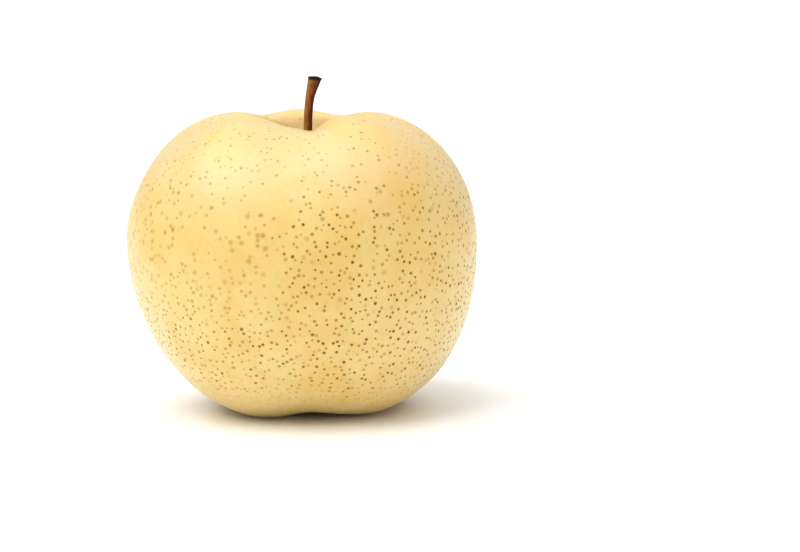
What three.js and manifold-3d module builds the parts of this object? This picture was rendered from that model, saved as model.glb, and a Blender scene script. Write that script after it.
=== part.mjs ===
// An Asian pear standing on its calyx end: the fruit, and the stem that its cavity holds.
// Millimetres, +Z up, with the front of the fruit towards -Y. The origin is on the surface that the pear
// stands on, under the middle of the pear's box.
import * as THREE from "three";
import { mergeVertices } from "three/addons/utils/BufferGeometryUtils.js";
import Module from "manifold-3d";

const wasm = await Module();
wasm.setup();

// ---- Driving dimensions: the fruit ----
const FRUIT_DIAMETER = 92; // across the cheeks, where they are widest
const FRUIT_HEIGHT = 78.5; // from the foot to the crest of the shoulder
const WIDEST_HEIGHT = 44.5; // of the widest place, above the foot
const SHOULDER_DIAMETER = 36; // of the crest round the stem cavity
const CAVITY_DEPTH = 11.3; // of the stem cavity, below that crest
const CAVITY_SHIFT = 1.8; // how far the cavity's floor lies from the fruit's axis, towards +X
const FOOT_DIAMETER = 35.3; // of the ring of lobes that the fruit stands on
const BASIN_DEPTH = 8.7; // of the calyx basin, above the foot
const FLAT_DEPTH = 0.4; // how far the fruit's weight has flattened each lobe of the foot
const FOOT_SHIFT = 3.65; // how far the foot lies from the fruit's axis, towards +X
const FOOT_SHIFT_POWER = 2.6; // the higher, the closer to the foot the fruit begins to lean that way
const OVAL = 0.023; // share of the radius by which the round of the fruit is oval
const OVAL_AZIMUTH = 38; // degrees, the direction in which it is longest

// The outline's curves, each as the shares of the way to its corner that its two tangents reach.
const BASIN_FULLNESS = [0.35, 0.55];
const LOWER_CHEEK_FULLNESS = [0.47, 0.64];
const UPPER_CHEEK_FULLNESS = [0.61, 0.56];
const CAVITY_FULLNESS = [0.39, 0.2];

// The five carpels inside leave a groove between each two lobes of the flesh. Depths are in millimetres, on
// the shoulder's crest and on the foot. Azimuths are in degrees from +X, and a groove has faded out at its
// reach to either side.
const GROOVES = [
  { azimuth: -90, shoulder: 3.2, foot: 2.1, reach: 42 },
  { azimuth: -11, shoulder: 1.3, foot: 1.7, reach: 36 },
  { azimuth: 59, shoulder: 1.3, foot: 1.9, reach: 36 },
  { azimuth: 129, shoulder: 1.3, foot: 1.9, reach: 36 },
  { azimuth: 196, shoulder: 2, foot: 0.7, reach: 36 },
  { azimuth: -51, shoulder: 0, foot: 0.7, reach: 36 }, // one lobe of the foot, too short to touch the table
];
const NOTCH = { azimuth: -77, depth: 1.3, reach: 17 }; // a crease in the cavity's rim, over the front groove
const GROOVE_PINCH = 0.02; // share of the radius that a groove takes in, for each millimetre of its depth

// ---- Driving dimensions: the stem ----
const STEM_LENGTH = 20.8; // from the cavity's floor to the cut end
const STEM_DIAMETER = 2.3; // at its slimmest
const STEM_WAIST_HEIGHT = 7; // of its slimmest place, above the cavity's floor
const STEM_ROOT_DIAMETER = 2.7; // where it goes into the flesh
const STEM_TIP_DIAMETER = 3.6; // of the flared end, where it was cut from the spur
const STEM_FLARE_LENGTH = 5; // of that flare
const STEM_BEND = 1.9; // how far the tip leans over, towards +X
const STEM_BEND_POWER = 4; // the higher, the closer to the tip it bends
const SOCKET_DEPTH = 6; // of the stem's socket, below the cavity's floor
const STEM_CLEARANCE = 0.3; // between the stem and its socket

// ---- Mesh fineness ----
const FRUIT_SEGMENTS = 72;
const STEM_SEGMENTS = 20;
const SOCKET_SEGMENTS = 20;

const fruitRadius = FRUIT_DIAMETER / 2;
const shoulderRadius = SHOULDER_DIAMETER / 2;
const footRadius = FOOT_DIAMETER / 2;
const cavityFloor = FRUIT_HEIGHT - CAVITY_DEPTH;
const cavityReach = 1.5 * shoulderRadius; // from the fruit's axis to where the cavity's form has faded out

const smooth = (share) => THREE.MathUtils.smoothstep(share, 0, 1);
const point = (x, y) => new THREE.Vector2(x, y);

// A curve from one point to another. It leaves towards one corner and arrives from another, and its tangents
// reach the given shares of the way to them.
function curveBy(from, to, leaveTowards, arriveFrom, [leave, arrive]) {
  const firstControl = from.clone().lerp(leaveTowards, leave);
  const secondControl = to.clone().lerp(arriveFrom, arrive);
  return new THREE.CubicBezierCurve(from, firstControl, secondControl, to);
}

// A lathed solid about +Z, with its seam and its poles merged so that only shared vertices are left.
function turned(profile, segments) {
  const geometry = new THREE.LatheGeometry(profile, segments);
  geometry.rotateX(Math.PI / 2);
  geometry.deleteAttribute("normal");
  geometry.deleteAttribute("uv");
  return mergeVertices(geometry, 1e-3);
}

// Moves each vertex of a geometry to where place() puts it.
function reshaped(geometry, place) {
  const positions = geometry.getAttribute("position");
  const vertex = new THREE.Vector3();
  for (let i = 0; i < positions.count; i++) {
    place(vertex.fromBufferAttribute(positions, i));
    positions.setXYZ(i, vertex.x, vertex.y, vertex.z);
  }
  return geometry;
}

function solidOf(geometry) {
  const position = geometry.getAttribute("position");
  const mesh = new wasm.Mesh({
    numProp: 3,
    vertProperties: new Float32Array(position.array),
    triVerts: new Uint32Array(geometry.index.array),
  });
  return new wasm.Manifold(mesh);
}

function geometryOf(solid) {
  const mesh = solid.getMesh();
  const geometry = new THREE.BufferGeometry();
  geometry.setAttribute("position", new THREE.BufferAttribute(mesh.vertProperties, mesh.numProp));
  geometry.setIndex(new THREE.BufferAttribute(mesh.triVerts, 1));
  geometry.computeVertexNormals();
  return geometry;
}

// The fruit's half outline, from the middle of the calyx basin round the cheek to the cavity's floor. It is
// upright where it is widest and level on the foot, on the shoulder's crest and at both ends.
function fruitProfile() {
  const basin = point(0, BASIN_DEPTH);
  const foot = point(footRadius, -FLAT_DEPTH);
  const widest = point(fruitRadius, WIDEST_HEIGHT);
  const shoulder = point(shoulderRadius, FRUIT_HEIGHT);
  const floor = point(0, cavityFloor);
  const lowCorner = point(widest.x, foot.y);
  const highCorner = point(widest.x, shoulder.y);
  const overBasin = point(foot.x, basin.y);
  const underBasin = point(basin.x, foot.y);
  const overCavity = point(floor.x, shoulder.y);
  const inCavity = point(shoulder.x, floor.y);
  return [
    ...curveBy(basin, foot, overBasin, underBasin, BASIN_FULLNESS).getPoints(8),
    ...curveBy(foot, widest, lowCorner, lowCorner, LOWER_CHEEK_FULLNESS).getPoints(14).slice(1),
    ...curveBy(widest, shoulder, highCorner, highCorner, UPPER_CHEEK_FULLNESS).getPoints(14).slice(1),
    ...curveBy(shoulder, floor, overCavity, inCavity, CAVITY_FULLNESS).getPoints(9).slice(1),
  ];
}

// 1 in the middle of a groove, falling smoothly to 0 at its reach to either side.
function inGroove(azimuth, groove) {
  const away = Math.abs(THREE.MathUtils.euclideanModulo(azimuth - groove.azimuth + 180, 360) - 180);
  return Math.cos((Math.PI / 2) * Math.min(away / groove.reach, 1)) ** 2;
}

// How deep the grooves are at an azimuth, on the "shoulder" or on the "foot".
function grooveDepth(azimuth, end) {
  return GROOVES.reduce((depth, groove) => depth + groove[end] * inGroove(azimuth, groove), 0);
}

// Turns the round fruit into the grown one: oval, grooved between its lobes, with both ends off its axis.
function growFruit(vertex) {
  const radius = Math.hypot(vertex.x, vertex.y);
  const angle = Math.atan2(vertex.y, vertex.x);
  const azimuth = THREE.MathUtils.radToDeg(angle);
  const height = vertex.z;
  const nearTop = smooth((height - WIDEST_HEIGHT) / (FRUIT_HEIGHT - WIDEST_HEIGHT));
  const nearFoot = smooth((WIDEST_HEIGHT - height) / WIDEST_HEIGHT);
  const nearRim = smooth((cavityReach - radius) / (cavityReach - shoulderRadius));
  const notch = nearRim * NOTCH.depth * inGroove(azimuth, NOTCH);
  const topGroove = nearTop * (grooveDepth(azimuth, "shoulder") + notch);
  const footGroove = nearFoot * grooveDepth(azimuth, "foot");
  const oval = OVAL * Math.cos(2 * (angle - THREE.MathUtils.degToRad(OVAL_AZIMUTH)));
  const grown = radius * (1 + oval - GROOVE_PINCH * (topGroove + footGroove));
  const towardsFoot = THREE.MathUtils.clamp(1 - height / FRUIT_HEIGHT, 0, 1) ** FOOT_SHIFT_POWER;
  const towardsCavity = nearTop * smooth(1 - radius / cavityReach);
  vertex.x = grown * Math.cos(angle) + CAVITY_SHIFT * towardsCavity + FOOT_SHIFT * towardsFoot;
  vertex.y = grown * Math.sin(angle);
  vertex.z -= topGroove * Math.min(radius / shoulderRadius, 1);
  vertex.z += footGroove * Math.min(radius / footRadius, 1);
}

// How far the middle of the stem is from the fruit's axis, at a height above the cavity's floor.
function stemOffset(height) {
  return CAVITY_SHIFT + STEM_BEND * Math.max(height / STEM_LENGTH, 0) ** STEM_BEND_POWER;
}

// The flesh and its skin. The foot is pressed flat where it stands, and the cavity's floor has the socket.
function makeFruit() {
  const grown = solidOf(reshaped(turned(fruitProfile(), FRUIT_SEGMENTS), growFruit));
  const socketRadius = STEM_ROOT_DIAMETER / 2 + STEM_CLEARANCE;
  const socket = turned(column(socketRadius, -SOCKET_DEPTH, CAVITY_DEPTH), SOCKET_SEGMENTS);
  socket.translate(CAVITY_SHIFT, 0, cavityFloor);
  const table = turned(column(2 * FRUIT_DIAMETER, -FRUIT_HEIGHT, 0), FRUIT_SEGMENTS);
  return geometryOf(grown.subtract(solidOf(table)).subtract(solidOf(socket)));
}

// The half outline of an upright cylinder.
function column(radius, bottom, top) {
  return [point(0, bottom), point(radius, bottom), point(radius, top), point(0, top)];
}

// The stem: a root that fills the socket, a slim waist and a flared cut end. Its slices stay level, so the
// cut is level too, and each is moved sideways as the stem leans.
function makeStem() {
  const root = point(STEM_ROOT_DIAMETER / 2, 0);
  const waist = point(STEM_DIAMETER / 2, STEM_WAIST_HEIGHT);
  const tip = point(STEM_TIP_DIAMETER / 2, STEM_LENGTH);
  const flareStart = point(waist.x, STEM_LENGTH - STEM_FLARE_LENGTH);
  const underTip = point(waist.x, STEM_LENGTH);
  const rootBottom = STEM_CLEARANCE - SOCKET_DEPTH;
  const taper = new THREE.QuadraticBezierCurve(root, point(waist.x, root.y), waist);
  const flare = new THREE.CubicBezierCurve(waist, flareStart, flareStart.clone().lerp(underTip, 0.7), tip);
  const profile = [
    point(0, rootBottom),
    point(root.x, rootBottom),
    ...taper.getPoints(5),
    ...flare.getPoints(10).slice(1),
    point(0, STEM_LENGTH),
  ];
  const stem = reshaped(turned(profile, STEM_SEGMENTS), (vertex) => {
    vertex.x += stemOffset(vertex.z);
    vertex.z += cavityFloor;
  });
  stem.computeVertexNormals();
  return stem;
}

function named(name, geometry, material) {
  const mesh = new THREE.Mesh(geometry, material);
  mesh.name = name;
  return mesh;
}

const skin = new THREE.MeshStandardMaterial({ color: 0xf6dc93, roughness: 0.45, metalness: 0 });
const bark = new THREE.MeshStandardMaterial({ color: 0x7a4a20, roughness: 0.7, metalness: 0 });

const pear = new THREE.Group();
pear.add(named("fruit", makeFruit(), skin));
pear.add(named("stem", makeStem(), bark));

// The origin goes under the middle of the pear's box.
const middle = new THREE.Box3().setFromObject(pear, true).getCenter(new THREE.Vector3());
pear.position.set(-middle.x, -middle.y, 0);

export default pear;
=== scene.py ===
# %% [markdown]
# # An Asian pear
# A pear looks simple, but three things have to be right before it looks grown and not turned on a lathe:
# a form with lobes and hollows, a thin waxy skin full of cork spots, and a stem that is clearly wood. The
# measured solids of the fruit and the stem come in first. Everything below takes its place from them.

# %% Load the measured solids
import math

import bpy
import numpy as np
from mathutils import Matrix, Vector, noise
from mathutils.bvhtree import BVHTree
from mathutils.kdtree import KDTree


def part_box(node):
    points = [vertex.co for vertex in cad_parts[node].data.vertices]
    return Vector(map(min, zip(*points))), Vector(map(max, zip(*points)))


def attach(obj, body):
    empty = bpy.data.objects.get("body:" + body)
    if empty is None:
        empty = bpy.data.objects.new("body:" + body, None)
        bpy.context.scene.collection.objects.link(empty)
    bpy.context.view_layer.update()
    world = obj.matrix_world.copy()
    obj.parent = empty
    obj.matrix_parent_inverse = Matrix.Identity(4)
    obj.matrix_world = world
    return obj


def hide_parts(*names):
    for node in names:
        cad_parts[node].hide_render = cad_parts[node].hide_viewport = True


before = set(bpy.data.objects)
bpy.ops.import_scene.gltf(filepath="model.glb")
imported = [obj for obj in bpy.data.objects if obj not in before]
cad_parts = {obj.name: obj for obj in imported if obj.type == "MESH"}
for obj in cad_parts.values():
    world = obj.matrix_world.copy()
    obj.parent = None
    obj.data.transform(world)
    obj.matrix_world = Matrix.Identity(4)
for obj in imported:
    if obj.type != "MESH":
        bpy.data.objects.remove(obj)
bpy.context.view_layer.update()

MM = 0.001
fruit_low, fruit_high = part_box("fruit")
stem_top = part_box("stem")[1].z
print(f"fruit {[round(x / MM, 1) for x in fruit_high - fruit_low]} mm, top of stem {stem_top / MM:.1f} mm up")

# %% [markdown]
# ## The camera
# Fruit is best seen through a long lens from a little above the table, so that the cheeks look as broad as
# they are. A 100 mm lens at arm's length does that. The camera looks straight ahead over the table
# and slightly down, and it stands to the right of the pear, which puts the pear in the left half of the
# picture with white space beside it.

# %% Camera
LENS = 100.0  # millimetres, on a sensor 36 mm wide
CAMERA_DISTANCE = 0.5907
CAMERA_ELEVATION = math.radians(7.3)
CAMERA_TO_THE_RIGHT = 0.0257  # so the pear stands this far left of the picture's middle
CAMERA_BELOW = 0.0029
AIM_HEIGHT = 0.038

camera = bpy.data.objects.new("camera", bpy.data.cameras.new("camera"))
camera.data.lens = LENS
back = Vector((0, -math.cos(CAMERA_ELEVATION), math.sin(CAMERA_ELEVATION)))
up = Vector((0, math.sin(CAMERA_ELEVATION), math.cos(CAMERA_ELEVATION)))
aim = Vector((CAMERA_TO_THE_RIGHT, 0, AIM_HEIGHT)) - up * CAMERA_BELOW
camera.location = aim + back * CAMERA_DISTANCE
camera.rotation_euler = back.to_track_quat("Z", "Y").to_euler()
bpy.context.scene.collection.objects.link(camera)
bpy.context.scene.camera = camera
print(f"camera {camera.location.z:.3f} m above the table")

# %% [markdown]
# ## Nodes and colours
# Materials and the sky are node trees here, so one small function adds a node, sets it and links it. Colours
# are written as the sRGB hex values of a paint chart, and a second function turns them into the linear light
# that the renderer counts in.

# %% Add a node, read a colour
def in_use(sockets, name=None):
    """The first socket that its node's settings leave on, out of all, or out of those with this name."""
    return next(socket for socket in sockets if socket.enabled and name in (None, socket.name))


def add(tree, kind, inputs=None, **settings):
    """Adds a node. inputs maps sockets, by name or number, to values, outputs, or nodes.

    A node stands for the first of its outputs that is in use.
    """
    node = tree.nodes.new("ShaderNode" + kind)
    for name, value in settings.items():
        setattr(node, name, value)
    for key, value in (inputs or {}).items():
        socket = node.inputs[key] if isinstance(key, int) else in_use(node.inputs, key)
        if isinstance(value, bpy.types.Node):
            value = in_use(value.outputs)
        if isinstance(value, bpy.types.NodeSocket):
            tree.links.new(value, socket)
        else:
            socket.default_value = value
    return node


def linear(hex_colour):
    """An sRGB hex colour as linear red, green, blue and alpha."""
    parts = [int(hex_colour[i : i + 2], 16) / 255 for i in (1, 3, 5)]
    return (*[c / 12.92 if c <= 0.04045 else ((c + 0.055) / 1.055) ** 2.4 for c in parts], 1.0)


print("the middle grey #808080 in linear light:", round(linear("#808080")[0], 3))

# %% [markdown]
# ## The light
# The pear stands in a white room, which gives even light from all sides. A large soft window high on the left
# gives the form its shading and the left shoulder its broad, faint gloss. Weaker ones on the right and behind
# keep the other side from going dark. Sun lamps 50 degrees wide or more do that, and unlike area lamps they
# light the far end of the table as much as the near end, so that the table turns pure white wherever the pear
# doesn't keep the light off it. The standard view keeps those whites and the skin's yellow as they are; a
# film-like view would grey them.

# %% Sky and windows
SKY_STRENGTH = 0.68

bpy.context.scene.view_settings.view_transform = "Standard"
world = bpy.data.worlds.new("white_room")
bpy.context.scene.world = world
world.use_nodes = True
world.node_tree.nodes.clear()
sky = add(world.node_tree, "Background", {"Color": linear("#FFFFFF"), "Strength": SKY_STRENGTH})
add(world.node_tree, "OutputWorld", {"Surface": sky})


def soft_window(name, strength, width, side, height):
    """A sun lamp. Its angles are in degrees: its width, how far it stands to the right, and its height."""
    made = bpy.data.objects.new(name, bpy.data.lights.new(name, "SUN"))
    made.data.energy = strength
    made.data.angle = math.radians(width)
    turn, lift = math.radians(side), math.radians(height)
    towards = Vector((math.sin(turn) * math.cos(lift), -math.cos(turn) * math.cos(lift), math.sin(lift)))
    made.rotation_euler = towards.to_track_quat("Z", "Y").to_euler()
    bpy.context.scene.collection.objects.link(made)
    print(f"{name}: strength {strength}, {height} degrees up")


soft_window("left_window", strength=2.55, width=54, side=-60, height=63)
soft_window("right_window", strength=0.5, width=50, side=60, height=65)
soft_window("back_window", strength=0.4, width=50, side=180, height=65)

# %% [markdown]
# ## The table
# The table is a sheet of white laminate, pressed smooth, so it is bright and has a dull sheen. It could be a
# board with edges, but only its top is ever seen, so one large square does. Two helpers come with it, because
# the fruit and the stem need them too: one makes a material out of a shader, and the other turns points and
# faces into a smooth piece.

# %% Table
TABLE_SIZE = 200.0  # metres, so that it reaches past the top of the picture


def material_of(name, shader):
    """A node material. shader is a function that fills an empty tree and gives its shader node."""
    made = bpy.data.materials.new(name)
    made.use_nodes = True
    made.node_tree.nodes.clear()
    add(made.node_tree, "OutputMaterial", {"Surface": shader(made.node_tree)})
    return made


def piece(name, vertices, faces, material):
    """A smooth mesh object in the scene, with one material."""
    mesh = bpy.data.meshes.new(name)
    mesh.from_pydata([tuple(v) for v in vertices], [], faces)
    mesh.validate()
    mesh.shade_smooth()
    mesh.materials.append(material)
    made = bpy.data.objects.new(name, mesh)
    bpy.context.scene.collection.objects.link(made)
    print(f"{name}: {len(mesh.vertices)} points, {len(mesh.polygons)} faces")
    return made


def white_laminate(tree):
    """Pressed white laminate: nearly all light comes back, with a dull sheen."""
    finish = {"Roughness": 0.35, "Specular IOR Level": 0.5}
    return add(tree, "BsdfPrincipled", {"Base Color": linear("#FAFAFA"), **finish})


edge = TABLE_SIZE / 2
corners = [(-edge, -edge, 0), (edge, -edge, 0), (edge, edge, 0), (-edge, edge, 0)]
table = piece("table", corners, [(0, 1, 2, 3)], material_of("white_laminate", white_laminate))

# %% [markdown]
# ## The fruit: measuring the grown form
# The fruit's solid has flat facets and a drilled socket for the stem. A skin has neither. So a grid like the
# lines of longitude and latitude on a globe is laid over it: rays leave the middle of the core, and each
# one ends on the solid. The globe's poles are the foot of the stem and the middle of the calyx basin,
# because the fine detail is there and that is where such a grid is finest. A remesh would also give even
# faces, but it would blur the two hollows.

# %% Where the stem stands
SOCKET_CLEARANCE = 0.4 * MM  # between the stem's root and the socket's wall, and a little more


def solid_surface(node):
    """A CAD solid as a tree that rays can be cast on."""
    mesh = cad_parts[node].data
    return BVHTree.FromPolygons([v.co for v in mesh.vertices], [p.vertices for p in mesh.polygons])


def stem_slices():
    """The CAD stem's level slices, from the lowest up, each as its middle and its radius."""
    slices = {}
    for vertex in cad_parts["stem"].data.vertices:
        slices.setdefault(round(vertex.co.z, 5), []).append(vertex.co)
    found = []
    for height in sorted(slices):
        low = Vector(map(min, zip(*slices[height])))
        high = Vector(map(max, zip(*slices[height])))
        found.append(((low + high) / 2, (high.x - low.x) / 2))
    return [(middle, radius) for middle, radius in found if radius > 0]


fruit_solid = solid_surface("fruit")
stem_line = stem_slices()
root_middle, root_radius = stem_line[0]
socket_radius = root_radius + SOCKET_CLEARANCE
beside_stem = root_middle + Vector((0, 1.1 * socket_radius, 0))  # a spot that just misses the socket
floor_hit = fruit_solid.ray_cast(Vector((beside_stem.x, beside_stem.y, 1)), Vector((0, 0, -1)))[0]
stem_foot = Vector((root_middle.x, root_middle.y, floor_hit.z))
print(f"stem foot {stem_foot.z / MM:.1f} mm up, root {2 * root_radius / MM:.2f} mm thick")

# %% Where the core runs
def highest_in_basin(reach=10 * MM, steps=20):
    """The top of the hollow under the fruit, found by rays from below."""
    hits = []
    for i in range(-steps, steps + 1):
        for j in range(-steps, steps + 1):
            start = Vector((i * reach / steps, j * reach / steps, -1))
            hits.append(fruit_solid.ray_cast(start, Vector((0, 0, 1)))[0])
    return max(hits, key=lambda hit: hit.z)


calyx = highest_in_basin()
core_line = (stem_foot - calyx).normalized()
core_middle = (stem_foot + calyx) / 2
across = core_line.orthogonal().normalized()
along = core_line.cross(across)
print(f"calyx {calyx.z / MM:.1f} mm up, core {(stem_foot - calyx).length / MM:.1f} mm long")

# %% Lay the globe over the solid
ROWS, COLUMNS = 132, 160
POLE_CROWDING = 0.6  # 0 spaces the rows evenly; nearer to 1 crowds them towards the poles
SOCKET_COVER = 1.5  # how many of the socket's radii the level floor reaches


def ray_directions():
    """Unit directions, one row for each angle from the stem, one column for each longitude."""
    share = (np.arange(ROWS) + 0.5) / ROWS
    polar = math.pi * (share - POLE_CROWDING * np.sin(2 * math.pi * share) / (2 * math.pi))
    longitude = 2 * math.pi * np.arange(COLUMNS) / COLUMNS
    round_core = np.outer(np.cos(longitude), across) + np.outer(np.sin(longitude), along)
    return np.cos(polar)[:, None, None] * np.array(core_line) + np.sin(polar)[:, None, None] * round_core


def measured_form():
    """Where each ray leaves the fruit. Over the socket the cavity's level floor goes on to the middle."""
    directions = ray_directions()
    points = np.zeros_like(directions)
    for row, column in np.ndindex(ROWS, COLUMNS):
        direction = Vector(directions[row, column])
        hit = fruit_solid.ray_cast(core_middle, direction)[0]
        level = core_middle + direction * ((stem_foot.z - core_middle.z) / max(direction.z, 1e-6))
        over_socket = direction.z > 0 and (level - stem_foot).length < SOCKET_COVER * socket_radius
        points[row, column] = level if over_socket else hit
    return points


form = measured_form()
at_cheek = np.linalg.norm(form[ROWS // 2, 0] - form[ROWS // 2 - 1, 0])
print(f"grid of {ROWS} by {COLUMNS}, with rows {at_cheek / MM:.2f} mm apart at the cheek")

# %% [markdown]
# ## The fruit: from facets to skin
# Plain smoothing would pull the fruit in a little with every pass. Taubin smoothing takes one step in and
# one slightly longer step out, which irons away the facets and keeps lobes, hollows and size.

# %% Iron out the facets
SMOOTHING_PAIRS = 30
STEP_IN, STEP_OUT = 0.63, -0.67  # shares of the way to the neighbours' mean


def neighbours_mean(points):
    """The mean of each point's four neighbours. Over a pole, the neighbour is on the opposite longitude."""
    over_stem = np.roll(points[:1], COLUMNS // 2, axis=1)
    over_calyx = np.roll(points[-1:], COLUMNS // 2, axis=1)
    tall = np.concatenate([over_stem, points, over_calyx])
    return (tall[:-2] + tall[2:] + np.roll(points, 1, axis=1) + np.roll(points, -1, axis=1)) / 4


for step in [STEP_IN, STEP_OUT] * SMOOTHING_PAIRS:
    form = form + step * (neighbours_mean(form) - form)
print(f"ironed {SMOOTHING_PAIRS} times, now {np.ptp(form[..., 0]) / MM:.2f} mm wide")

# %% [markdown]
# ## The fruit: small relief
# Skin over living flesh is never even. Faint swellings run over the cheeks. The flesh rises in a low collar
# round the stem, and the cavity's rim dips on one side. In the basin, the flower's remains have fallen off
# and left a puckered cork scar, a small pit with a raised ring and creases running out of it. Displacement in
# the material could draw all this, but then it would show in renders only. Here it is a shift of the grid
# along its normals, so the mesh has it too.

# %% Distances and noise over the grid
RIM_DIP = Vector((-8, -13, 9)) * MM  # where the cavity's rim dips, from the stem's foot


def distance_from(points, centre):
    """How far each point of the grid is from a centre."""
    return np.linalg.norm(points - np.array(centre), axis=2)


def bump(distance, middle, width):
    """1 at the middle distance, falling softly over the width to either side."""
    return np.exp(-(((distance - middle) / width) ** 2))


def swellings(points, wavelength, seed):
    """Smooth noise between about -1 and 1 over the points, with the given wavelength in metres."""
    shift = Vector((seed, 2 * seed, 3 * seed))
    flat = [noise.noise(Vector(p) / wavelength + shift) for p in points.reshape(-1, 3)]
    return np.array(flat).reshape(points.shape[:-1])


print(f"the rim dips {RIM_DIP.length / MM:.1f} mm from the stem's foot")

# %% Relief
def relief(points):
    """How far the skin stands out of the ironed form, in metres."""
    from_stem = distance_from(points, stem_foot)
    from_calyx = distance_from(points, calyx)
    from_dip = distance_from(points, stem_foot + RIM_DIP)
    longitude = 2 * math.pi * np.arange(COLUMNS) / COLUMNS
    creases = np.cos(11 * longitude + 2 * swellings(points, 9 * MM, 5)) * bump(from_calyx, 4.5 * MM, 2 * MM)
    return (
        0.30 * MM * swellings(points, 24 * MM, 1)  # broad swellings on the cheeks
        + 0.10 * MM * swellings(points, 9 * MM, 2)  # and smaller ones over them
        + 0.50 * MM * bump(from_stem, 1.0 * MM, 1.6 * MM)  # the collar round the stem
        - 0.45 * MM * bump(from_dip, 0, 6 * MM)  # the dip in the cavity's rim
        - 0.90 * MM * bump(from_calyx, 0, 1.5 * MM)  # the scar's pit
        + 0.35 * MM * bump(from_calyx, 2.6 * MM, 0.8 * MM)  # the ring round the pit
        + 0.12 * MM * creases  # eleven creases that run out of it
    )


def normals_of(points):
    """Unit normals of the grid, pointing out of the fruit."""
    down = np.gradient(points, axis=0)
    round_fruit = np.roll(points, -1, axis=1) - np.roll(points, 1, axis=1)
    normal = np.cross(down, round_fruit)
    return normal / np.linalg.norm(normal, axis=2, keepdims=True)


form = form + relief(form)[..., None] * normals_of(form)
print(f"skin from {form[..., 2].min() / MM:.2f} to {form[..., 2].max() / MM:.2f} mm up")

# %% [markdown]
# ## The fruit: back on the table
# The smoothing and the swellings may leave a lobe a hair below the table, or a cheek a hair outside the
# measured solid. The fruit's own weight presses its foot flat, so whatever is below the table is set on it.
# Then each half is drawn in by the hair that it stands out.

# %% Set it down and keep it inside the solid's box
def kept_inside(points):
    """The form with each half drawn in, where it needs to be, to stay inside the solid's box."""
    for axis, (low, high) in enumerate(zip(fruit_low, fruit_high)):
        values = points[..., axis]
        shrink_low = min(1, low / min(values.min(), -1e-9))  # nothing lies below the table, so not by 0
        shrink_high = min(1, high / values.max())
        points[..., axis] = np.where(values < 0, shrink_low, shrink_high) * values
    return points


form[..., 2] = np.maximum(form[..., 2], 0)
form = kept_inside(form)
print(f"skin from {form[..., 2].min() / MM:.2f} to {form[..., 2].max() / MM:.2f} mm up")

# %% [markdown]
# ## The lenticels
# Lenticels are the cork pores that the fruit breathes through: brown dots 0.5 to 0.9 mm wide, at least 1 mm
# apart. On the ripe cheek and in a band low down they are crowded, crisp and dark. Elsewhere most are wide
# and faint, because they lie under the wax. Towards the calyx they are small and pale and very close
# together, and on the middle of the shoulder there are few.
#
# A Voronoi texture is the usual way to get dots, but a solid one, sliced by the skin, gives clumps and
# slivers. Here the dots are thrown like darts, and a dart stays only if it lands clear of the others. Each
# face is then told which pore is nearest, and the material measures how far it is to that pore's middle. So
# a pore stays round and sharp, whatever the size of the faces. Close neighbours go into different layers,
# because a face between two of them can be told of only one.

# %% Throw the darts
DARTS = 13000
luck = np.random.default_rng(11)  # a fixed seed, so that each run grows the same fruit


def thrown_darts(points, count):
    """Random places on the grid, spread evenly over its area."""
    above, below = points[:-1], points[1:]
    corners = above, np.roll(above, -1, axis=1), np.roll(below, -1, axis=1), below
    area = np.linalg.norm(np.cross(corners[2] - corners[0], corners[3] - corners[1]), axis=2).ravel()
    hit = luck.choice(area.size, count, p=area / area.sum())
    a, b, c, d = (corner.reshape(-1, 3)[hit] for corner in corners)
    s, t = luck.random((2, count, 1))
    return (1 - t) * ((1 - s) * a + s * b) + t * ((1 - s) * d + s * c)


pore_places = thrown_darts(form, DARTS)
print(f"{len(pore_places)} darts")

# %% [markdown]
# Where the pores crowd and how they look depends on the side of the fruit. Four smooth maps say how far a
# place is on the ripe cheek, in the band low down, high up on the shoulder, or close to the calyx.

# %% Which darts stay
RIPE_CHEEK = Vector((0.8, -0.6, 0)) / (fruit_high.x - fruit_low.x) * 2  # towards the front right
RIPE_EDGE = 0.36, 0.64  # where ripe skin begins and is complete, 1 being the cheek's farthest point
LOW_BAND = 21 * MM, 14 * MM  # the height of its middle, and its half-width
SHOULDER = 51 * MM, 68 * MM  # the heights where it begins and is complete
BY_CALYX = 13 * MM, 4 * MM  # the same for the part next to the calyx
SPARSE_STRIP = 3 * MM, 22 * MM  # how far to the right its middle is, and its half-width


def smooth(value, low, high):
    """A smooth step from 0 at low to 1 at high."""
    share = np.clip((value - low) / (high - low), 0, 1)
    return share * share * (3 - 2 * share)


def zones(places):
    """How far each place is on the ripe cheek, in the low band, high up, and by the calyx: 0 to 1."""
    height = places[:, 2]
    ripe = smooth(places @ np.array(RIPE_CHEEK), *RIPE_EDGE)
    return ripe, bump(height, *LOW_BAND), smooth(height, *SHOULDER), smooth(height, *BY_CALYX)


def pore_chances(places):
    """How likely a dart is to stay."""
    ripe, low_band, high_up, by_calyx = zones(places)
    return (
        0.31  # anywhere
        + 0.35 * ripe * (1 - high_up)
        + 0.9 * low_band
        + 0.9 * by_calyx
        + (0.3 - 0.6 * bump(places[:, 0], *SPARSE_STRIP)) * high_up
        + 0.25 * swellings(places, 16 * MM, 4)  # more in some patches than in others
    )


pore_places = pore_places[luck.random(DARTS) < pore_chances(pore_places)]
print(f"{len(pore_places)} darts left")

# %% Keep the pores apart
NEAREST_PORES = 1.0 * MM


def clear_of_others(places, gap):
    """Whether each place, taken in turn, is further than the gap from all those kept before it."""
    kept, cells = [], {}
    steps = [(i, j, k) for i in (-1, 0, 1) for j in (-1, 0, 1) for k in (-1, 0, 1)]
    for place in map(Vector, places):
        x, y, z = (math.floor(value / gap) for value in place)
        near = [other for i, j, k in steps for other in cells.get((x + i, y + j, z + k), [])]
        kept.append(all((place - other).length > gap for other in near))
        if kept[-1]:
            cells.setdefault((x, y, z), []).append(place)
    return np.array(kept)


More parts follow.
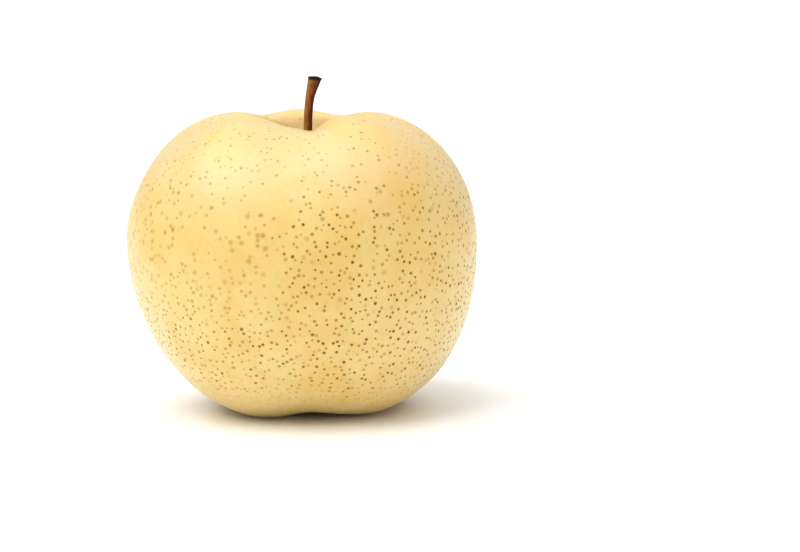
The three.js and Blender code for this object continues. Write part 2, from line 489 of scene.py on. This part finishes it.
pore_places = pore_places[clear_of_others(pore_places, NEAREST_PORES)]
print(f"{len(pore_places)} pores, none nearer than {NEAREST_PORES / MM} mm to another")

# %% Give each pore its looks
CRISP_RADII = 0.27, 0.45  # millimetres
FAINT_RADII = 0.36, 0.66
CRISP_STRENGTHS = 0.5, 1.0  # shares of full cork
FAINT_STRENGTHS = 0.28, 0.6
CRISP_RIM, FAINT_RIM = 0.42, 0.7  # how far the rim fades in and out, as a share of the radius


def pore_looks(places):
    """The radius, the softness and the strength of each pore."""
    ripe, low_band, high_up, by_calyx = zones(places)
    count = len(places)
    in_zone = np.maximum(ripe * (1 - 0.7 * high_up), low_band)
    crisp = luck.random(count) < 0.12 + 0.8 * in_zone  # a few anywhere, nearly all in the crowded zones
    faint_radius = luck.uniform(*FAINT_RADII, count) * (1 - 0.4 * np.maximum(high_up, low_band))
    radius = np.where(crisp, luck.uniform(*CRISP_RADII, count), faint_radius)
    faint_strength = luck.uniform(*FAINT_STRENGTHS, count) * (1 + 0.1 * high_up)
    crisp_strength = luck.uniform(*CRISP_STRENGTHS, count) * (0.45 + 0.5 * in_zone)
    strength = np.where(crisp, crisp_strength, faint_strength) * (1 - 0.55 * by_calyx)
    softness = np.where(crisp, CRISP_RIM, FAINT_RIM)
    return np.stack([radius * (1 - 0.3 * by_calyx) * MM, softness, strength], axis=1)


pores = np.concatenate([pore_places, pore_looks(pore_places)], axis=1)
print(f"pores {2 * pores[:, 3].min() / MM:.2f} to {2 * pores[:, 3].max() / MM:.2f} mm wide")

# %% Deal them out into layers
PORE_LAYERS = 3
LAYER_GAP = 2.3 * MM  # in one layer, so that no face reaches two pores

pore_layers = []
for _ in range(PORE_LAYERS):
    fits = clear_of_others(pores[:, :3], LAYER_GAP)
    pore_layers.append(pores[fits])
    pores = pores[~fits]
print("pores in each layer", [len(layer) for layer in pore_layers], "left out", len(pores))

# %% [markdown]
# ## The skin's colour and finish
# The skin is live and thin, with a coat of the fruit's own wax. Light enters it and comes back warm, so the
# shader has some subsurface scattering. Wax has an index of refraction near 1.44, and here it is satin, so
# it gives broad soft highlights. The ground is a clear yellow with deeper yellow clouds. It is paler towards
# the foot, which is painted light bounced up from the table, and paler on the shoulder, which is partly a
# painted highlight. Both hollows, where rain stands, are rough and of a warmer colour, and the cavity's wall
# is darker too, partly as painted shade. Russet, a brown cork, spreads round the stem, and the flower's scar
# in the basin is darker still. Cork takes no wax, so the pores have no gloss.
#
# Colour comes in washes, as with watercolour. Each wash follows one measure, such as the height or a noise,
# and lies over those before it. A painted image would do as well, but it would need an unwrapped skin.

# %% Washes of colour
def washed(tree, colour, washes):
    """Lays washes over a colour, and gives the new colour and each wash's share of it.

    A wash is the value that it follows, two ends of that value, its share at both ends, and its hex colour.
    """
    shares = []
    for value, low, high, at_low, at_high, paint in washes:
        ends = {"Value": value, "From Min": low, "From Max": high, "To Min": at_low, "To Max": at_high}
        shares.append(add(tree, "MapRange", ends, interpolation_type="SMOOTHSTEP"))
        layers = {"Factor": shares[-1], "A": colour, "B": linear(paint)}
        colour = add(tree, "Mix", layers, data_type="RGBA")
    return colour, shares


def ground_colour(tree, place, height, fine):
    """The skin between the pores, paler at the foot as painted bounce light and on the shoulder partly as a
    painted highlight.
    """
    cloud = add(tree, "TexNoise", {"Vector": place, "Scale": 1 / (14 * MM), "Detail": 3.0})
    washes = [
        # below the cheeks the paler base colour shows at the foot: painted light bounced up from the table
        (height, 0.0, 50 * MM, 0.0, 1.0, "#DCC172"),  # the cheeks
        (height, 45 * MM, 68 * MM, 0.0, 1.0, "#D8BA79"),  # the shoulder, paler partly as a painted highlight
        (cloud, 0.42, 0.64, 0.0, 0.6, "#DAB45A"),  # deeper yellow clouds
        (fine, 0.48, 0.75, 0.0, 0.25, "#CC9E50"),  # tiny freckles
    ]
    return washed(tree, linear("#E2C981"), washes)[0]


print("the cheeks' yellow in linear light:", [round(share, 3) for share in linear("#DCC172")[:3]])

# %% Cork in the pores
RIM_UNEVENNESS = 0.4 * MM  # times a noise between -0.5 and 0.5


def pore_layer(tree, place, edge, layer):
    """How much cork shows, for the pores of one layer. edge is a small noise that makes their rims uneven."""
    middle = add(tree, "Attribute", attribute_name=f"pore_middle_{layer}").outputs["Vector"]
    looks = add(tree, "Attribute", attribute_name=f"pore_looks_{layer}").outputs["Vector"]
    radius, softness, strength = add(tree, "SeparateXYZ", {"Vector": looks}).outputs
    apart = add(tree, "VectorMath", {0: place, 1: middle}, operation="DISTANCE")
    uneven = add(tree, "Math", {0: apart, 1: edge}, operation="ADD")
    share = add(tree, "Math", {0: uneven, 1: radius}, operation="DIVIDE")
    inner = add(tree, "Math", {0: 1.0, 1: softness}, operation="SUBTRACT")
    outer = add(tree, "Math", {0: 1.0, 1: softness}, operation="ADD")
    ends = {"Value": share, "From Min": inner, "From Max": outer, "To Min": 1.0, "To Max": 0.0}
    inside = add(tree, "MapRange", ends, interpolation_type="SMOOTHSTEP")
    return add(tree, "Math", {0: inside, 1: strength}, operation="MULTIPLY")


def all_pores(tree, place, fine):
    """How much cork shows, for the pores of all layers."""
    centred = add(tree, "Math", {0: fine, 1: 0.5}, operation="SUBTRACT")
    edge = add(tree, "Math", {0: centred, 1: RIM_UNEVENNESS}, operation="MULTIPLY")
    cork = 0.0
    for layer in range(PORE_LAYERS):
        one = pore_layer(tree, place, edge, layer)
        cork = add(tree, "Math", {0: cork, 1: one}, operation="MAXIMUM")
    return cork


def cork_colour(tree, height, cork):
    """Thin cork is golden low down and olive higher up, and dense cork is dark brown everywhere."""
    washes = [
        (height, 45 * MM, 62 * MM, 0.0, 1.0, "#776708"),
        (cork, 0.4, 0.9, 0.0, 1.0, "#6E4C02"),
    ]
    return washed(tree, linear("#A8741A"), washes)[0]


print("dense cork in linear light:", [round(share, 3) for share in linear("#6E4C02")[:3]])

# %% Warm colours in the hollows
BLOTCH = 4 * MM  # how wide the blotches at a hollow's edge are, and how far they can shift that edge


def hollows(tree, place, colour):
    """Warmer colours, russet, the scar and some painted shade in the two hollows. Gives the new colour and
    how rough it is.
    """
    from_stem = add(tree, "Attribute", attribute_name="from_stem").outputs["Fac"]
    from_calyx = add(tree, "Attribute", attribute_name="from_calyx").outputs["Fac"]
    blotches = add(tree, "TexNoise", {"Vector": place, "Scale": 1 / BLOTCH, "Detail": 3.0})
    ragged = add(tree, "Math", {0: blotches, 1: BLOTCH}, operation="MULTIPLY")
    ragged_stem = add(tree, "Math", {0: from_stem, 1: ragged}, operation="ADD")
    ragged_calyx = add(tree, "Math", {0: from_calyx, 1: ragged}, operation="ADD")
    washes = [
        (ragged_stem, 14 * MM, 21 * MM, 1.0, 0.0, "#B08A34"),  # the cavity's golden wall, darkened partly as painted shade in the hollow
        (ragged_calyx, 10 * MM, 25 * MM, 0.95, 0.0, "#DEA440"),  # the basin's warm yellow
        (ragged_stem, 4 * MM, 13 * MM, 0.8, 0.0, "#8C6C2B"),  # russet round the stem
        (from_calyx, 1.5 * MM, 4.5 * MM, 0.9, 0.0, "#5B3A17"),  # the flower's scar
    ]
    colour, (_, in_basin, by_stem, _) = washed(tree, colour, washes)
    return colour, add(tree, "Math", {0: by_stem, 1: in_basin}, operation="MAXIMUM")


print("russet in linear light:", [round(share, 3) for share in linear("#8C6C2B")[:3]])

# %% The waxy skin
FINE_GRAIN = 1.2 * MM
SKIN_GRAIN = 0.08 * MM  # how high the skin's grain and its pores would stand at full strength


def waxy_pear_skin(tree):
    """Waxy yellow skin with cork pores, rougher and warmer in the two hollows."""
    place = add(tree, "TexCoord").outputs["Object"]
    height = add(tree, "SeparateXYZ", {"Vector": place}).outputs["Z"]
    fine = add(tree, "TexNoise", {"Vector": place, "Scale": 1 / FINE_GRAIN, "Detail": 4.0})
    cork = all_pores(tree, place, fine)
    ground = ground_colour(tree, place, height, fine)
    layers = {"Factor": cork, "A": ground, "B": cork_colour(tree, height, cork)}
    pored = add(tree, "Mix", layers, data_type="RGBA")
    coloured, rough = hollows(tree, place, pored)

    dull = add(tree, "Math", {0: cork, 1: rough}, operation="MAXIMUM")
    finish = {}
    for socket, value, high, at_low, at_high in [
        ("Roughness", dull, 1.0, 0.42, 0.75),  # satin wax, rough cork
        ("Specular IOR Level", cork, 0.8, 0.5, 0.1),
        ("Coat Weight", cork, 0.8, 0.7, 0.0),  # no wax on the pores
    ]:
        ends = {"Value": value, "From Min": 0.0, "From Max": high, "To Min": at_low, "To Max": at_high}
        finish[socket] = add(tree, "MapRange", ends, interpolation_type="SMOOTHSTEP")

    grain = add(tree, "Math", {0: fine, 1: 0.4}, operation="MULTIPLY")
    raised = add(tree, "Math", {0: cork, 1: 0.6}, operation="MULTIPLY")
    lumps = add(tree, "Math", {0: grain, 1: raised}, operation="ADD")
    bumped = add(tree, "Bump", {"Height": lumps, "Strength": 0.3, "Distance": SKIN_GRAIN})
    wax = {"IOR": 1.44, "Coat Roughness": 0.4, "Coat IOR": 1.45}
    flesh = {"Subsurface Weight": 0.5, "Subsurface Scale": 8 * MM, "Subsurface Radius": (1.0, 0.5, 0.15)}
    return add(tree, "BsdfPrincipled", {"Base Color": coloured, "Normal": bumped, **finish, **wax, **flesh})


skin = material_of("waxy_pear_skin", waxy_pear_skin)
print(f"{skin.name}: {len(skin.node_tree.nodes)} nodes")

# %% [markdown]
# ## The fruit: the mesh
# The grid becomes rings of quads with a fan of triangles at each pole, and one level of subdivision rounds
# it. A finer grid would do as well, but it would take four times as many rays. The hollows' colours need the
# distance to the stem and to the calyx, so each point stores those.

# %% Build the fruit
def on_grid(row, column):
    """The number of a grid point. The last column's neighbour is the first."""
    return row * COLUMNS + column % COLUMNS


def globe_mesh(points):
    """Vertices and faces of the grid: rings of quads, closed by a fan of triangles at each pole."""
    top, bottom = points[0].mean(axis=0), points[-1].mean(axis=0)
    vertices = [*points.reshape(-1, 3), top, bottom]
    faces = [
        (on_grid(r, c), on_grid(r + 1, c), on_grid(r + 1, c + 1), on_grid(r, c + 1))
        for r in range(ROWS - 1)
        for c in range(COLUMNS)
    ]
    faces += [(len(vertices) - 2, on_grid(0, c), on_grid(0, c + 1)) for c in range(COLUMNS)]
    faces += [(len(vertices) - 1, on_grid(ROWS - 1, c + 1), on_grid(ROWS - 1, c)) for c in range(COLUMNS)]
    return vertices, faces


def subdivided(made):
    """Rounds the mesh with one level of subdivision, and keeps the result."""
    made.modifiers.new("finer", "SUBSURF").levels = 1
    evaluated = made.evaluated_get(bpy.context.evaluated_depsgraph_get())
    finer = bpy.data.meshes.new_from_object(evaluated)
    made.modifiers.clear()
    made.data = finer
    print(f"{made.name} subdivided: {len(finer.polygons)} faces")


def note_distance(made, name, centre):
    """Stores each point's distance from a centre on the mesh, for the material to read."""
    attribute = made.data.attributes.new(name, "FLOAT", "POINT")
    attribute.data.foreach_set("value", [(v.co - centre).length for v in made.data.vertices])


fruit = piece("pear_fruit", *globe_mesh(form), skin)
subdivided(fruit)
note_distance(fruit, "from_stem", stem_foot)
note_distance(fruit, "from_calyx", calyx)

# %% Tell each face its nearest pores
def tell_faces(mesh, layer, pores):
    """Stores on each face the middle and the looks of this layer's nearest pore."""
    tree = KDTree(len(pores))
    for index, pore in enumerate(pores):
        tree.insert(pore[:3], index)
    tree.balance()
    nearest = pores[[tree.find(face.center)[1] for face in mesh.polygons]]
    for name, values in (("middle", nearest[:, :3]), ("looks", nearest[:, 3:])):
        attribute = mesh.attributes.new(f"pore_{name}_{layer}", "FLOAT_VECTOR", "FACE")
        attribute.data.foreach_set("vector", values.ravel())


for layer, pores in enumerate(pore_layers):
    tell_faces(fruit.data, layer, pores)
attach(fruit, "root")
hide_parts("fruit")
print(f"{len(fruit.data.polygons)} faces know {PORE_LAYERS} pores each")

# %% [markdown]
# ## The stem
# The stem is a thin twig. Its bark has shrunk into fine ridges that run along it, it swells where it leaves
# the flesh, and it flares where it once joined the spur. There the right side stands out in a lip that hangs
# a little. The solid's level slices give the middle line and the thickness, and finer rings are threaded
# between them. A curve with a bevel would give the same line, but round all the way, with no ridges or lip.

# %% Stem form
STEM_RINGS, STEM_SIDES = 110, 64
ROOT_SHOWN = 3 * MM  # how far the twig goes into the flesh
RIDGE_HEIGHT = 0.05 * MM
RIDGE_LENGTH, RIDGE_TURNS = 14 * MM, 2.6  # long along the twig and narrow across it
KNOT_LENGTH, KNOT_TURNS = 2.2 * MM, 1.3
LIP_FLARE = 0.45 * MM  # how far the right lip stands out, where it does so most
FLARE_DEPTH = 2.5 * MM  # and that is this far below the end
LIP_DROOP = 0.6 * MM  # how far the lip hangs at the end
DROOP_DEPTH = 4 * MM  # how far below the end the hanging begins


def on_stem_line(height):
    """The middle and the radius of the solid stem at a height, between its two nearest slices."""
    heights = [middle.z for middle, _ in stem_line]
    values = [[middle.x, middle.y, radius] for middle, radius in stem_line]
    return [np.interp(height, heights, column) for column in zip(*values)]


def stem_ring(height):
    """One ring of the twig. spot is the unit direction from the middle line to a point."""
    x, y, radius = on_stem_line(height)
    ring = []
    for side in range(STEM_SIDES):
        angle = 2 * math.pi * side / STEM_SIDES
        spot = Vector((math.cos(angle), math.sin(angle), 0))
        ridge = noise.noise(Vector((RIDGE_TURNS * spot.x, RIDGE_TURNS * spot.y, height / RIDGE_LENGTH)))
        knot = noise.noise(Vector((KNOT_TURNS * spot.x, KNOT_TURNS * spot.y, height / KNOT_LENGTH + 7)))
        grown = radius - RIDGE_HEIGHT + RIDGE_HEIGHT * (1.4 * ridge + 0.9 * knot)
        lip = max(spot.x, 0) ** 2
        grown += LIP_FLARE * lip * float(bump(height, stem_top - FLARE_DEPTH, FLARE_DEPTH))
        droop = LIP_DROOP * lip * float(smooth(height, stem_top - DROOP_DEPTH, stem_top))
        ring.append(Vector((x, y, height - droop)) + spot * grown)
    return ring


rings = [stem_ring(height) for height in np.linspace(stem_foot.z - ROOT_SHOWN, stem_top, STEM_RINGS)]
end_width = (rings[-1][0] - rings[-1][STEM_SIDES // 2]).length
print(f"stem of {len(rings)} rings, {end_width / MM:.2f} mm wide at its end")

# %% [markdown]
# ## The bark
# The bark of a pear twig is thin and dry, so it is dull and has hardly any gloss. The side that faces the
# left window is painted tan, as painted light, and the other side dark, as painted shade; halfway up it is
# red-brown.
# The end is torn cork, nearly black, and the bark has turned to the same cork just below it. Fibres could be
# modelled one by one, but they are thinner than a hair, so a noise that is stretched along the twig draws
# them: 0.3 mm wide and eight times as long. Real ones are finer, but these are the finest that show.

# %% Bark
# The side where the bark is painted lit, towards the left window; away from it the bark is painted shade.
PAINTED_LIGHT_SIDE = (-0.92, -0.38, 0.0)  # left, and a little to the front
BARK_BROWN = "#7A4A10"
FIBRE_WIDTH = 0.3 * MM
FIBRE_HEIGHT = 0.08 * MM
PATCH = 3 * MM  # how wide the patches are that shift the bark's colours up and down
PATCH_SHIFT = 4 * MM  # times a noise between -0.5 and 0.5


def pear_twig_bark(tree):
    """Tan painted light towards the left window, painted shade on the other side, red-brown halfway up, a
    dark corky end.
    """
    place = add(tree, "TexCoord").outputs["Object"]
    lengthwise = add(tree, "Mapping", {"Vector": place, "Scale": (1, 1, 0.12)})
    fibres = add(tree, "TexNoise", {"Vector": lengthwise, "Scale": 1 / FIBRE_WIDTH, "Detail": 4.0})
    centred_fibres = add(tree, "Math", {0: fibres, 1: 0.5}, operation="SUBTRACT")

    patches = add(tree, "TexNoise", {"Vector": place, "Scale": 1 / PATCH, "Detail": 3.0})
    centred_patches = add(tree, "Math", {0: patches, 1: 0.5}, operation="SUBTRACT")
    uneven = add(tree, "Math", {0: centred_patches, 1: PATCH_SHIFT}, operation="MULTIPLY")
    height = add(tree, "SeparateXYZ", {"Vector": place}).outputs["Z"]
    height = add(tree, "Math", {0: height, 1: uneven}, operation="ADD")

    # painted light and shade: how far the bark faces the left window, streaked along the fibres
    facing = add(tree, "TexCoord").outputs["Normal"]
    painted_light_facing = add(tree, "VectorMath", {0: facing, 1: PAINTED_LIGHT_SIDE}, operation="DOT_PRODUCT")
    streaks = add(tree, "Math", {0: centred_fibres, 1: 0.6}, operation="MULTIPLY")
    painted_light_facing = add(tree, "Math", {0: painted_light_facing, 1: streaks}, operation="ADD")

    washes = [
        (height, stem_top - 13.5 * MM, stem_top - 10.5 * MM, 0.0, 1.0, "#96400C"),  # red-brown halfway up
        (height, stem_top - 6.5 * MM, stem_top - 2 * MM, 0.0, 1.0, BARK_BROWN),  # brown again above it
        (painted_light_facing, -0.5, 0.4, 1.0, 0.0, "#452006"),  # painted shade on the side away from the left window
        (painted_light_facing, 0.25, 0.75, 0.0, 1.0, "#9C6C36"),  # painted light, tan, on the side towards the left window
        (fibres, 0.3, 0.6, 0.55, 0.0, "#3E2008"),  # dark lines between the fibres
    ]
    bark = washed(tree, linear(BARK_BROWN), washes)[0]
    end = add(tree, "Attribute", attribute_name="cut_end").outputs["Fac"]
    ended = add(tree, "Mix", {"Factor": end, "A": bark, "B": linear("#2A1202")}, data_type="RGBA")
    bumped = add(tree, "Bump", {"Height": fibres, "Strength": 0.6, "Distance": FIBRE_HEIGHT})
    dry = {"Roughness": 0.7, "IOR": 1.4, "Specular IOR Level": 0.25}
    return add(tree, "BsdfPrincipled", {"Base Color": ended, "Normal": bumped, **dry})


twig = material_of("pear_twig_bark", pear_twig_bark)
print(f"{twig.name}: {len(twig.node_tree.nodes)} nodes")

# %% Build the stem
HOLLOW = [(0.93, 0.02), (0.8, 0.12), (0.5, 0.28), (0.2, 0.3)]  # share of the radius, millimetres sunk
DARK_RIM = 0.6 * MM  # the depth of bark that has turned to cork at the end


def closing_rings(last):
    """Rings that close the cut end, sinking to a hollow middle, and the point in that middle."""
    middle = sum(last, Vector()) / len(last)
    rings = []
    for share, sunk in HOLLOW:
        rings.append([middle + (p - middle) * share - Vector((0, 0, sunk * MM)) for p in last])
    return rings, middle - Vector((0, 0, HOLLOW[-1][1] * MM))


def stem_mesh(rings):
    """Vertices, faces and each vertex's share of cut end."""
    inner, end_middle = closing_rings(rings[-1])
    every = rings + inner
    foot = sum(rings[0], Vector()) / len(rings[0])
    vertices = [p for ring in every for p in ring] + [end_middle, foot]
    sides = STEM_SIDES
    faces = [
        (r * sides + s, r * sides + (s + 1) % sides, (r + 1) * sides + (s + 1) % sides, (r + 1) * sides + s)
        for r in range(len(every) - 1)
        for s in range(sides)
    ]
    last = (len(every) - 1) * sides
    faces += [(last + s, last + (s + 1) % sides, len(vertices) - 2) for s in range(sides)]
    faces += [((s + 1) % sides, s, len(vertices) - 1) for s in range(sides)]
    heights = [ring[sides // 2].z for ring in rings]
    rim = [float(smooth(height, stem_top - 2 * DARK_RIM, stem_top - DARK_RIM)) for height in heights]
    cut = [share for share in rim for _ in range(sides)] + [1.0] * (len(inner) * sides + 1) + [0.0]
    return vertices, faces, cut


vertices, faces, cut = stem_mesh(rings)
stem = piece("pear_stem", vertices, faces, twig)
stem.data.attributes.new("cut_end", "FLOAT", "POINT").data.foreach_set("value", cut)
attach(stem, "root")
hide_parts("stem")
